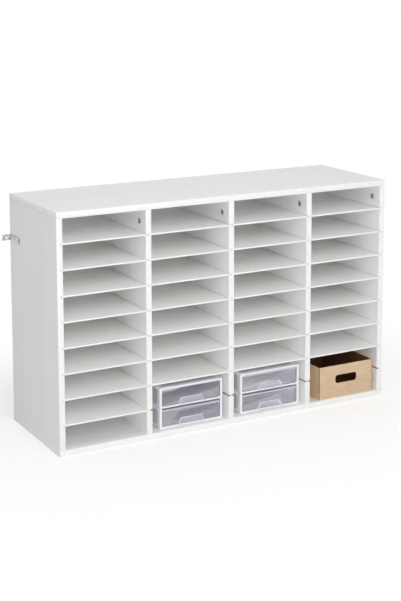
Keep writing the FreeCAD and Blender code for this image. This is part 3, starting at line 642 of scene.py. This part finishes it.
for label, material in (
    ("back_panel", BACK_HARDBOARD),
    ("cam_bolts", ZINC_PASSIVATED),
    ("base_screws", ZINC_PLATE),
    ("back_nails", ZINC_PLATE),
    ("dowels", BEECH),
):
    nodes[label].material_slots[0].material = material


# --- fittings -----------------------------------------------------------------------------


# How far a cam's face lies under the board's, the radius of a pan head, and the brackets' sheet.
CAM_RECESS = 0.3 * MM
HEAD_RADIUS = 3.5 * MM
BRACKET_SHEET = 1.5 * MM


def cam_housing():
    """A cam, face up on Z: a rim, a sunk face, a cross recess and a crescent slot."""
    radius, thickness = 7.5 * MM, 12.5 * MM
    cam = turned("cam", radius, thickness, (0, 0, -thickness))
    with editing(cam):
        pick(cam, "FACE", facing_up)
        bpy.ops.mesh.inset(thickness=1.1 * MM, depth=0)
        bpy.ops.mesh.inset(thickness=0.2 * MM, depth=-0.8 * MM)

    def outer_rim(edge):
        return all(end.co.z > -TOUCHING and end.co.xy.length > radius - 0.5 * MM for end in edge.verts)

    softened(cam, 0.4 * MM, outer_rim)
    for long, wide in ((4.6, 1.0), (1.0, 4.6)):
        carved(cam, block("cross", (-long * MM, -wide * MM, -4 * MM), (long * MM, wide * MM, 1 * MM)))
    crescent = turned("crescent", 6.2 * MM, 6 * MM, (0, 0, -5 * MM))
    carved(crescent, turned("crescent_inner", 5.6 * MM, 8 * MM, (1.9 * MM, 0, -6 * MM)))
    carved(cam, crescent)
    coated(cam, DIECAST)
    return smoothed(cam)


def cam_places():
    """Where each cam's face is: its middle and the way it faces."""
    low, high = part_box("cam_locks")
    level = (low.z + high.z) / 2
    radius = (high.z - low.z) / 2
    rows = (low.y + radius, high.y - radius)
    for number, upright in enumerate(UPRIGHTS):
        board_low, board_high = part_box(upright)
        facing = 1 if number == 0 else -1
        face = board_high.x if number == 0 else board_low.x
        for row in rows:
            yield Vector((face - facing * CAM_RECESS, row, level)), facing


cam = cam_housing()
cams = [
    copied(cam, "cam_copy", Matrix.Translation(middle) @ Matrix.Rotation(facing * math.pi / 2, 4, "Y"))
    for middle, facing in cam_places()
]
bpy.data.objects.remove(cam)
installed(joined("cam_housings", cams), "cam_locks")


def pan_screw():
    """A pan head on Z with a cross recess, and the part of its shank that stands in the board."""
    screw = turned("pan_screw", HEAD_RADIUS, 1.1 * MM, (0, 0, 0), sides=32)
    with editing(screw):
        pick(screw, "FACE", facing_up)
        for inset, rise in ((0.5, 0.6), (0.8, 0.4), (0.8, 0.2)):
            bpy.ops.mesh.inset(thickness=inset * MM, depth=rise * MM)
    for long, wide in ((1.7, 0.42), (0.42, 1.7)):
        carved(screw, block("recess", (-long * MM, -wide * MM, 1.1 * MM), (long * MM, wide * MM, 4 * MM)))
    shank = turned("shank", 1.75 * MM, 10.5 * MM, (0, 0, -10.5 * MM), sides=24)
    return smoothed(joined("pan_screw", [screw, shank]))


def screw_places():
    """Where each pan head bears on its bracket, and the side of the cabinet that it is on."""
    low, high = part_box("bracket_screws")
    rows = (low.y + HEAD_RADIUS, high.y - HEAD_RADIUS)
    level = (low.z + high.z) / 2
    for side, board in ((-1, "left_side_panel"), (1, "right_side_panel")):
        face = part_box(board)[0 if side < 0 else 1].x
        for row in rows:
            yield Vector((face + side * BRACKET_SHEET, row, level)), side


screw = pan_screw()
screws = [
    copied(screw, "screw_copy", Matrix.Translation(seat) @ Matrix.Rotation(side * math.pi / 2, 4, "Y"))
    for seat, side in screw_places()
]
bpy.data.objects.remove(screw)
installed(coated(joined("pan_screws", screws), ZINC_PLATE), "bracket_screws")


def sharp(angle):
    """A test for the edges that turn by more than the angle, in degrees."""
    limit = math.radians(angle)
    return lambda edge: len(edge.link_faces) == 2 and edge.calc_face_angle(0.0) > limit


def bracket_finish(node):
    """Plated faces, and the sheet's cut edges painted near black: painted shade for the shadow along its
    thin edges.
    """
    plated, painted_edge_shade = range(2)
    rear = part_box(node)[1].y

    def finish(centre, normal):
        on_foot = centre.y > rear - BRACKET_SHEET - 0.1 * MM
        through_the_sheet = normal.y if on_foot else normal.x
        # Faces across the sheet's thickness take the near-black painted shade.
        return painted_edge_shade if abs(through_the_sheet) < 0.5 else plated

    return finish


for side in ("left", "right"):
    node = f"wall_bracket_{side}"
    bracket = softened(merged(f"{node}_plated", node), 0.3 * MM, sharp(40))
    coated(bracket, ZINC_PLATE, BRACKET_EDGE_PAINTED_SHADE, choose=bracket_finish(node))
    installed(smoothed(bracket), node)


# --- organisers ---------------------------------------------------------------------------


def on_outside(low, high):
    """A test for the sharp edges on the outer sides of a moulding."""
    turning = sharp(40)

    def test(edge):
        first, last = (outer_planes(low, high, end.co) for end in edge.verts)
        return bool(first & last) and turning(edge)

    return test


# How far a drawer's pull stands out from its front, and the front's wall.
PULL_REACH = 7.8 * MM
FRONT_WALL = 2.4 * MM


def tray_finish(low, high):
    """A clear front with a frosted pull, milkier floor and walls, and the top edges and the pull's rim in
    an almost opaque white: a painted highlight.
    """
    clear, frosted, lit, milky = range(4)
    pull_end = low.y + PULL_REACH
    front_end = pull_end + FRONT_WALL

    def finish(centre, normal):
        # The pull's rim and the tray's top edges take the almost opaque white of the painted highlight.
        if centre.y < pull_end:
            return frosted if abs(normal.y) > 0.5 else lit
        if centre.z > high.z - 0.5 * MM:
            return lit
        if centre.y > front_end and abs(normal.y) < 0.5:
            return milky
        return clear

    return finish


for column in (2, 3):
    for tier in ("lower", "upper"):
        unit = f"organiser_{column}_{tier}"
        low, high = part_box(f"{unit}_frame")
        sleeve = softened(merged(f"{unit}_sleeve", f"{unit}_frame"), 0.5 * MM, on_outside(low, high))
        installed(smoothed(coated(sleeve, MOULDED_WHITE)), f"{unit}_frame")
        nodes[f"{unit}_panes"].material_slots[0].material = CLEAR
        low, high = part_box(f"{unit}_drawer")
        tray = softened(merged(f"{unit}_tray", f"{unit}_drawer"), 0.3 * MM, sharp(40))
        coated(tray, CLEAR, FROSTED, EDGE_PAINTED_HIGHLIGHT, MILKY, choose=tray_finish(low, high))
        installed(smoothed(tray), f"{unit}_drawer")


# --- kraft bin ----------------------------------------------------------------------------


def scored(piece, axis, place, depth, test, width=0.5 * MM):
    """Presses a fine crease into the faces that pass the test, across the axis at the place."""
    inward = None
    for offset in (-width, 0, width):
        with editing(piece):
            pick(piece, "FACE", test)
            point = Vector((0, 0, 0))
            point[axis] = place + offset
            normal = [0, 0, 0]
            normal[axis] = 1
            bpy.ops.mesh.bisect(plane_co=point, plane_no=normal)
    with editing(piece):
        bpy.ops.mesh.select_mode(type="EDGE")
        bpy.ops.mesh.select_all(action="DESELECT")
        mesh = bmesh.from_edit_mesh(piece.data)
        for edge in mesh.edges:
            on_line = all(abs(end.co[axis] - place) < TOUCHING for end in edge.verts)
            if on_line and all(test(face) for face in edge.link_faces):
                edge.select_set(True)
                inward = -edge.link_faces[0].normal
        bmesh.update_edit_mesh(piece.data)
        bpy.ops.transform.translate(value=inward * depth)
    return piece


def kraft_bin():
    """A rigid open box of kraft-covered greyboard, with a hand hole in its front."""
    low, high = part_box("kraft_bin")
    wrap, rim_highlight, painted_inside_shade, fold = range(4)
    wall = 2 * MM
    corner = 2.5 * MM
    box = block("kraft_bin_wrapped", low, high)
    with editing(box):
        pick(box, "FACE", facing_up)
        bpy.ops.mesh.inset(thickness=wall, depth=0)
        bpy.ops.mesh.extrude_region_move(
            TRANSFORM_OT_translate={"value": (0, 0, -(high.z - low.z - wall))}
        )

    def standing(edge):
        ends = [outer_planes(low, high, end.co) for end in edge.verts]
        upright = abs(edge.verts[0].co.z - edge.verts[1].co.z) > 10 * MM
        return upright and len((ends[0] & ends[1]) - {(2, 0), (2, 1)}) == 2

    softened(box, corner, standing, segments=4)
    # The hand hole is 72 by 24 mm, with its middle 52.5 mm up. The cutter reaches past the front.
    middle = Vector(((low.x + high.x) / 2, low.y, low.z + 52.5 * MM))
    half_hole = Vector((36 * MM, 3 * wall, 12 * MM))

    def through(edge):
        return abs(edge.verts[0].co.y - edge.verts[1].co.y) > wall

    cutter = block("hand_hole", middle - half_hole, middle + half_hole)
    carved(box, softened(cutter, 8 * MM, through, segments=8))

    def around(level):
        turning = sharp(40)
        return lambda edge: all(abs(end.co.z - level) < TOUCHING for end in edge.verts) and turning(edge)

    softened(box, 0.5 * MM, around(high.z))
    softened(box, 0.8 * MM, around(low.z))

    def on_front(face):
        return face.normal.y < -0.99 and face.calc_center_median().y < low.y + TOUCHING

    # The wrap's glued lap shows as a fine line down the front.
    scored(box, 0, high.x - 13.6 * MM, 0.4 * MM, on_front)

    def finish(centre, normal):
        # The top rim takes the lighter painted highlight.
        if centre.z > high.z - 0.6 * MM:
            return rim_highlight
        if centre.y < low.y + 0.75 * wall:
            # The front's rounded corner faces take the darker painted shade.
            folded = centre.x < low.x + corner or centre.x > high.x - corner
            return fold if folded and -0.99 < normal.y < -0.15 else wrap
        # The inner faces of the walls take the dark painted shade.
        within = all(low[axis] + 0.75 * wall < centre[axis] < high[axis] - 0.75 * wall for axis in (0, 1))
        return painted_inside_shade if within and centre.z > low.z + 0.75 * wall else wrap

    coated(box, KRAFT, KRAFT_RIM_PAINTED_HIGHLIGHT, KRAFT_INSIDE_PAINTED_SHADE, KRAFT_FOLD_PAINTED_SHADE, choose=finish)
    return smoothed(box)


installed(kraft_bin(), "kraft_bin")


# --- studio -------------------------------------------------------------------------------


def white_to_the_eye(tree):
    """1 for rays from the camera, from glossy surfaces and through clear ones, otherwise 0."""
    path = add(tree, "LightPath")
    kinds = [path.outputs[f"Is {kind} Ray"] for kind in ("Camera", "Glossy", "Transmission")]
    seen = add(tree, "Math", {0: kinds[0], 1: kinds[1]}, operation="MAXIMUM")
    return add(tree, "Math", {0: seen, 1: kinds[2]}, operation="MAXIMUM")


def studio_floor():
    """A pale floor that holds the cabinet's soft shadow and turns to plain white further out."""
    bpy.ops.mesh.primitive_plane_add(size=14)
    floor = bpy.context.object
    floor.name = "studio_floor"
    material, tree, place = new_material("studio_paper_white")
    squeezed = add(tree, "Mapping", {"Vector": place, "Scale": (1.0, 1.4, 1.0)})
    reach = add(tree, "VectorMath", {0: squeezed}, operation="LENGTH").outputs["Value"]
    fading = {"Value": reach, "From Min": 0.62, "From Max": 1.25}
    far = add(tree, "MapRange", fading, interpolation_type="SMOOTHSTEP")
    paper = add(tree, "BsdfDiffuse", {"Color": linear("#dcdcdc")})
    glow = add(tree, "Emission", {"Strength": 0.4})
    near = add(tree, "AddShader", {0: paper, 1: glow})
    white = add(tree, "Emission", {"Strength": 1.0})
    shown = add(tree, "MixShader", {0: far, 1: near, 2: white})
    floor.data.materials.append(
        finished(material, tree, add(tree, "MixShader", {0: white_to_the_eye(tree), 1: paper, 2: shown}))
    )
    floor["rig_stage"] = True


def studio_air(strength):
    """An even pale surrounding, which the eye, gloss and clear plastic see as white."""
    world = bpy.data.worlds.new("studio_air")
    scene.world = world
    world.use_nodes = True
    tree = world.node_tree
    tree.nodes.clear()
    lit = add(tree, "Background", {"Color": linear("#ffffff"), "Strength": strength})
    white = add(tree, "Background", {"Color": linear("#ffffff"), "Strength": 1.0})
    air = add(tree, "MixShader", {0: white_to_the_eye(tree), 1: lit, 2: white})
    add(tree, "OutputWorld", {"Surface": air})


def softbox(name, place, target, wide, tall, power):
    """A rectangular lamp that looks at the target. Its power is in watts."""
    data = bpy.data.lights.new(name, "AREA")
    data.shape = "RECTANGLE"
    data.size = wide
    data.size_y = tall
    data.energy = power
    lamp = bpy.data.objects.new(name, data)
    scene.collection.objects.link(lamp)
    lamp.location = place
    lamp.rotation_euler = (Vector(target) - Vector(place)).to_track_quat("-Z", "Y").to_euler()


def camera(place, yaw, tilt, roll, focal_pixels, raised_pixels):
    """A camera from its place, its turn to the right, its tilt down and its focal length in pixels."""
    data = bpy.data.cameras.new("studio_camera")
    data.sensor_width = FILM
    data.lens = focal_pixels / PICTURE_HEIGHT * FILM
    data.shift_y = -raised_pixels / PICTURE_HEIGHT
    eye = bpy.data.objects.new("studio_camera", data)
    scene.collection.objects.link(eye)
    eye.location = place
    level = Matrix.Rotation(math.radians(90 - tilt), 4, "X")
    heading = Matrix.Rotation(math.radians(-yaw), 4, "Z")
    rolled = Matrix.Rotation(math.radians(roll), 4, "Z")
    eye.rotation_euler = (heading @ level @ rolled).to_euler()
    scene.camera = eye


studio_floor()
studio_air(0.62)
# The low lamp lights the cells from the front, the key lamp the fronts and the sides, the top lamp
# the top panel, and the rear lamp the back sheet.
softbox("low_softbox", (-0.45, -3.5, 0.6), (0, 0, 0.35), 2.4, 1.0, 34)
softbox("key_softbox", (-0.9, -3.2, 2.1), (0, 0, 0.35), 2.2, 1.6, 17)
softbox("top_softbox", (-0.2, -0.4, 2.9), (-0.1, 0, 0), 2.4, 2.0, 7)
softbox("rear_softbox", (1.2, 3.4, 0.3), (0, 0, 0.3), 2.6, 0.56, 20)
camera((-1.7401, -3.1235, 1.2456), 29.049, 8.036, -0.056, 1323.0, 155)

scene.view_settings.view_transform = "Standard"
# White cells are lit mostly by what their own walls pass on, so that light is followed further.
scene.cycles.diffuse_bounces = 10
# Through one organiser the eye looks into up to a dozen clear walls, each with two faces.
scene.cycles.transparent_max_bounces = 32

low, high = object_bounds()
